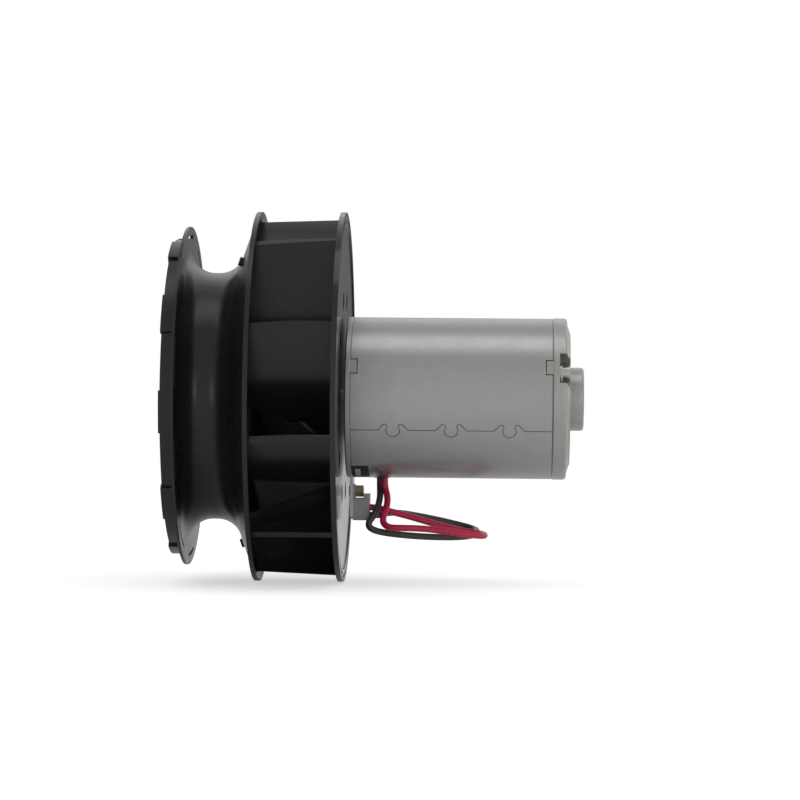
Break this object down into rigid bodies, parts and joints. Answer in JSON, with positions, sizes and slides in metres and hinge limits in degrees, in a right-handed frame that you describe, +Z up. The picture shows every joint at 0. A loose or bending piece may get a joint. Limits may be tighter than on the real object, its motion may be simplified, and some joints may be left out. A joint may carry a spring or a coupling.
{
  "type": "blower motor",
  "caption": "Cylindrical motor with ball bearings and brushes driving a backward-curved wheel with a spool-shaped inlet, on two short leads.",
  "frame": {"origin": "On the motor axis, at the middle of the can's length.", "axes": "+X along the motor axis, from the inlet towards the rear bearing; +Z up; -Y towards the side with the can's keyed seam."},
  "size_m": [0.2042, 0.1844, 0.1844],
  "materials": {
    "can_steel": "bright zinc-plated rolled sheet, faintly mottled",
    "cast_aluminium": "machined die casting, fine sparkle",
    "plated_steel": "plated, half bright",
    "bearing_steel": "polished",
    "lamination_steel": "stacked sheet, dull",
    "ferrite": "sintered, matt dark grey",
    "copper": "lacquered copper",
    "brass": "dull brass",
    "black_plastic": "moulded, semi-gloss",
    "moulded_plastic": "moulded, matt",
    "grey_plastic": "moulded, satin grey",
    "carbon": "pressed carbon, matt",
    "rubber": "soft, matt",
    "black_insulation": "smooth insulation, satin",
    "red_insulation": "smooth insulation, satin"
  },
  "bodies": {
    "motor": {"motor_can": "can_steel", "front_end_cap": "cast_aluminium", "rear_end_cap": "cast_aluminium", "tie_bolts": "plated_steel", "front_bearing_outer_ring": "bearing_steel", "rear_bearing_outer_ring": "bearing_steel", "preload_washer": "plated_steel", "field_magnets": "ferrite", "magnet_clips": "plated_steel", "brush_plate": "moulded_plastic", "supply_terminal": "plated_steel", "brush_holders": "brass", "upper_brush_spring": "plated_steel", "lower_brush_spring": "plated_steel", "lead_grommet": "rubber", "terminal_bracket": "plated_steel", "connector_housing": "grey_plastic", "connector_pins": "brass", "bracket_screw": "plated_steel", "bracket_nut": "brass", "black_lead": "black_insulation", "red_lead": "red_insulation"},
    "rotor": {"motor_shaft": "plated_steel", "armature_core": "lamination_steel", "armature_windings": "copper", "commutator_core": "moulded_plastic", "commutator_bars": "copper", "front_bearing_inner_ring": "bearing_steel", "rear_bearing_inner_ring": "bearing_steel", "front_bearing_balls": "bearing_steel", "rear_bearing_balls": "bearing_steel", "hub_insert": "plated_steel", "hub_washer": "plated_steel", "hub_nut": "plated_steel", "impeller_disc": "black_plastic", "impeller_blades": "black_plastic", "inlet_shroud": "black_plastic", "inlet_rim": "black_plastic", "balance_pads": "black_plastic"},
    "upper_brush": {"upper_brush": "carbon"},
    "lower_brush": {"lower_brush": "carbon"}
  },
  "joints": [
    {"name": "rotor_spin", "type": "hinge", "parent": "motor", "child": "rotor", "pos_m": [0, 0, 0], "axis": [1, 0, 0], "continuous": true},
    {"name": "upper_brush_slide", "type": "slide", "parent": "motor", "child": "upper_brush", "axis": [0, 0, 1], "range_m": [0, 0.003], "stiffness_N_per_m": 400, "springref_m": -0.006, "deforming": ["upper_brush_spring"]},
    {"name": "lower_brush_slide", "type": "slide", "parent": "motor", "child": "lower_brush", "axis": [0, 0, -1], "range_m": [0, 0.003], "stiffness_N_per_m": 400, "springref_m": -0.006, "deforming": ["lower_brush_spring"]}
  ]
}
